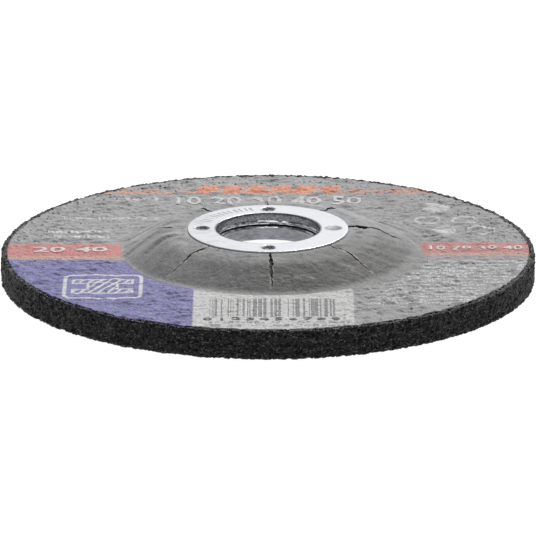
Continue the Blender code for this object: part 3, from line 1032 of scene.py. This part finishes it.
def ring_finish(name):
    finish = Finish(name, (0.80, 0.81, 0.84), 0.3, metallic=0.5)
    radius = finish.length(finish.x, finish.y)
    turn = finish.calc("ARCTAN2", finish.y, finish.x)
    mottle = finish.cloud(finish.mm, 1.3, 4.0, 0.65)
    flange = finish.mix(finish.ramp(mottle, 0.36, 0.6), (0.76, 0.775, 0.81), (0.82, 0.835, 0.875))
    smudge = finish.ramp(finish.cloud(finish.mm, 3.0, 3.0, 0.6), 0.5, 0.66)
    smudge = finish.both(smudge, finish.ramp(finish.x, -5, -9))
    flange = finish.mix(finish.times(smudge, 0.5), flange, (0.5, 0.51, 0.53))
    # Plain stamped ticks
    uneven = finish.cloud(finish.join(finish.times(turn, 9.0), 0.0), 1.0, 2.0)
    along = finish.fraction(finish.plus(finish.times(turn, 11.5), uneven))
    ticks = finish.both(
        finish.ramp(finish.off(along, 0.5), 0.26, 0.16),
        finish.ramp(finish.off(radius, 14.5), 1.2, 1.1),
        finish.ramp(finish.off(turn, 2.33), 0.53, 0.52),
        finish.ramp(finish.z, 8.0, 9.0),    # on the upper flange alone
    )
    flange = finish.mix(ticks, flange, (0.40, 0.41, 0.43))
    # The punched claws are bare, torn steel, painted darker as shade in their dishes; the nearly
    # shut one is painted dark grey as shade
    away_x, away_y = finish.absolute(finish.x), finish.absolute(finish.y)
    claw = finish.length(
        finish.minus(finish.larger(away_x, away_y), CLAW_CIRCLE), finish.smaller(away_x, away_y),
    )
    claw = finish.plus(claw, finish.ramp(finish.cloud(finish.mm, 0.8), 0.3, 0.7, -0.3, 0.3))
    shaded_claw = finish.both(finish.ramp(claw, 1.9, 1.6), finish.ramp(finish.z, 9.0, 9.4))
    torn = finish.ramp(finish.cloud(finish.mm, 0.5, 2.0, 0.6), 0.42, 0.56)
    flange = finish.mix(shaded_claw, flange, finish.mix(torn, (0.08, 0.08, 0.083), (0.30, 0.305, 0.31)))
    shut_claw = finish.both(shaded_claw, finish.ramp(finish.x, 10, 11))
    flange = finish.mix(shut_claw, flange, (0.13, 0.132, 0.137))
    # The drawn collars are dull, peppered above and streaked below; their edges are painted bright
    # as highlights
    pepper = finish.cloud(finish.mm, 0.33, 3.0, 0.7)
    upper = finish.mix(finish.ramp(pepper, 0.38, 0.62), (0.05, 0.052, 0.056), (0.30, 0.31, 0.33))
    wall = finish.join(finish.times(turn, BORE_RADIUS), finish.times(finish.z, 4.0))
    streak = finish.cloud(wall, 1.6, 3.0, 0.6)
    lower = finish.mix(finish.ramp(streak, 0.36, 0.62), (0.20, 0.21, 0.225), (0.34, 0.355, 0.375))
    dull = finish.mix(finish.ramp(finish.z, 8.5, 8.7), lower, upper)
    # Painted highlights along the collars' edges, broken into patches
    edges = finish.either(*(
        finish.ramp(finish.off(finish.z, height), width, width - 0.1)
        for height, width in COLLAR_HIGHLIGHTS
    ))
    edges = finish.both(edges, finish.ramp(radius, 11.75, 11.4))
    worn = finish.cloud(wall, 1.8, 1.0)
    dull = finish.mix(finish.both(edges, finish.ramp(worn, 0.46, 0.52)), dull, (0.85, 0.86, 0.88))
    finish.colour(finish.mix(finish.ramp(radius, 11.75, 11.4), flange, dull))
    gloss = finish.either(finish.ramp(mottle, 0.3, 0.7, 0.24, 0.17), finish.times(shaded_claw, 0.5))
    finish.rough(finish.minus(gloss, finish.times(edges, 0.1)))
    finish.bump(finish.cloud(finish.mm, 0.9, 3.0, 0.6), 0.02)
    return finish.material


# Camera and light

# A long lens, low in front of the disc
CAMERA_BACK = 1225.3 * MM
CAMERA_HEIGHT = 384.45 * MM
CAMERA_PITCH = math.radians(17.332)
CAMERA_LENS = 399.2
SENSOR_WIDTH = 36.0


def make_camera():
    data = bpy.data.cameras.new("camera")
    data.lens = CAMERA_LENS
    data.sensor_width = SENSOR_WIDTH
    data.clip_start = 0.05
    data.clip_end = 20.0
    camera = bpy.data.objects.new("camera", data)
    camera.location = (0.0, -CAMERA_BACK, CAMERA_HEIGHT)
    camera.rotation_euler = (math.pi / 2 - CAMERA_PITCH, 0.0, 0.0)
    bpy.context.scene.collection.objects.link(camera)
    bpy.context.scene.camera = camera


def softbox(name, place, size, power):
    """A rectangular light in metres and watts that faces the disc."""
    data = bpy.data.lights.new(name, "AREA")
    data.shape = "RECTANGLE"
    data.size, data.size_y = size
    data.energy = power
    light = bpy.data.objects.new(name, data)
    light.location = place
    to_disc = Vector((0, 0, 0)) - Vector(place)
    light.rotation_euler = to_disc.to_track_quat("-Z", "Y").to_euler()
    bpy.context.scene.collection.objects.link(light)


def make_light():
    softbox("key_softbox", place=(0.3, 1.1, 0.97), size=(0.55, 0.35), power=18.5)
    softbox("front_strip", place=(0.0, -0.62, 0.72), size=(1.4, 0.08), power=0.9)
    world = bpy.data.worlds.new("studio")
    world.use_nodes = True
    nodes, links = world.node_tree.nodes, world.node_tree.links
    coords = nodes.new("ShaderNodeTexCoord")
    split = nodes.new("ShaderNodeSeparateXYZ")
    ramp = nodes.new("ShaderNodeMapRange")
    for name, value in (("From Min", -0.15), ("From Max", 0.9), ("To Min", 0.07), ("To Max", 0.84)):
        ramp.inputs[name].default_value = value
    links.new(coords.outputs["Generated"], split.inputs[0])
    links.new(split.outputs["Y"], ramp.inputs["Value"])
    links.new(ramp.outputs["Result"], nodes["Background"].inputs["Strength"])
    nodes["Background"].inputs["Color"].default_value = (1, 1, 1, 1)
    bpy.context.scene.world = world
    bpy.context.scene.view_settings.view_transform = "Standard"
    bpy.context.scene.view_settings.look = "None"


def make_floor():
    bpy.ops.object.select_all(action="DESELECT")
    bpy.ops.mesh.primitive_plane_add(size=8.0, location=(0, 0, 0))
    floor = bpy.context.object
    floor.name = "floor"
    finish = Finish("white_floor", (0.25, 0.25, 0.25), 1.0, shine=0.0)
    material, shader = finish.material, finish.shader
    nodes, links = finish.tree.nodes, finish.tree.links
    shader.inputs["Emission Color"].default_value = (1, 1, 1, 1)
    shader.inputs["Emission Strength"].default_value = 0.97
    # From below the floor lets the view through, so that the grinding face can be seen
    clear = nodes.new("ShaderNodeBsdfTransparent")
    side = nodes.new("ShaderNodeNewGeometry")
    mix = nodes.new("ShaderNodeMixShader")
    links.new(side.outputs["Backfacing"], mix.inputs["Fac"])
    links.new(shader.outputs[0], mix.inputs[1])
    links.new(clear.outputs[0], mix.inputs[2])
    links.new(mix.outputs[0], nodes["Material Output"].inputs["Surface"])
    floor.data.materials.append(material)


make_camera()
make_light()
make_floor()

wheel = make_wheel()
label = make_label()
steel = ring_finish("ring_zinc")
for piece, slot, node, material in (
    (wheel, "abrasive", "wheel_body", grain_finish()),
    (label, "paper_label", "label", label_finish()),
    (make_upper_ring(), "ring_steel", "upper_ring", steel),
    (make_lower_ring(), "ring_steel", "lower_ring", steel),
):
    piece.data.materials.append(material)
    on_disc(piece, "root", slot, node)

pale_ink = film_finish("pale_ink", (0.66, 0.66, 0.66))
band_ink = film_finish("band_ink", (0.79, 0.70, 0.69))
dark_ink = film_finish("dark_ink", INK)
for name, words, left, right, low, high, weight, material in (
    ("size_numerals", "10 20 30 40 50", -20.4, 20.7, 33.9, 39.3, 0.024, pale_ink),
    ("left_band_numerals", "20 40", -50.7, -34.6, -2.2, 1.7, 0.025, band_ink),
    ("right_band_numerals", "10 20 30 40", 34.8, 55.0, -0.3, 2.6, 0.022, band_ink),
    ("bar_numerals", "0 1 2 3 4 5 6 7 8 9", -13.5, 15.0, -49.8, -48.0, 0.02, dark_ink),
):
    film = numerals(name, words, left, right, low, high, label, weight)
    film.data.materials.append(material)
    on_disc(film, "root", "paper_label")
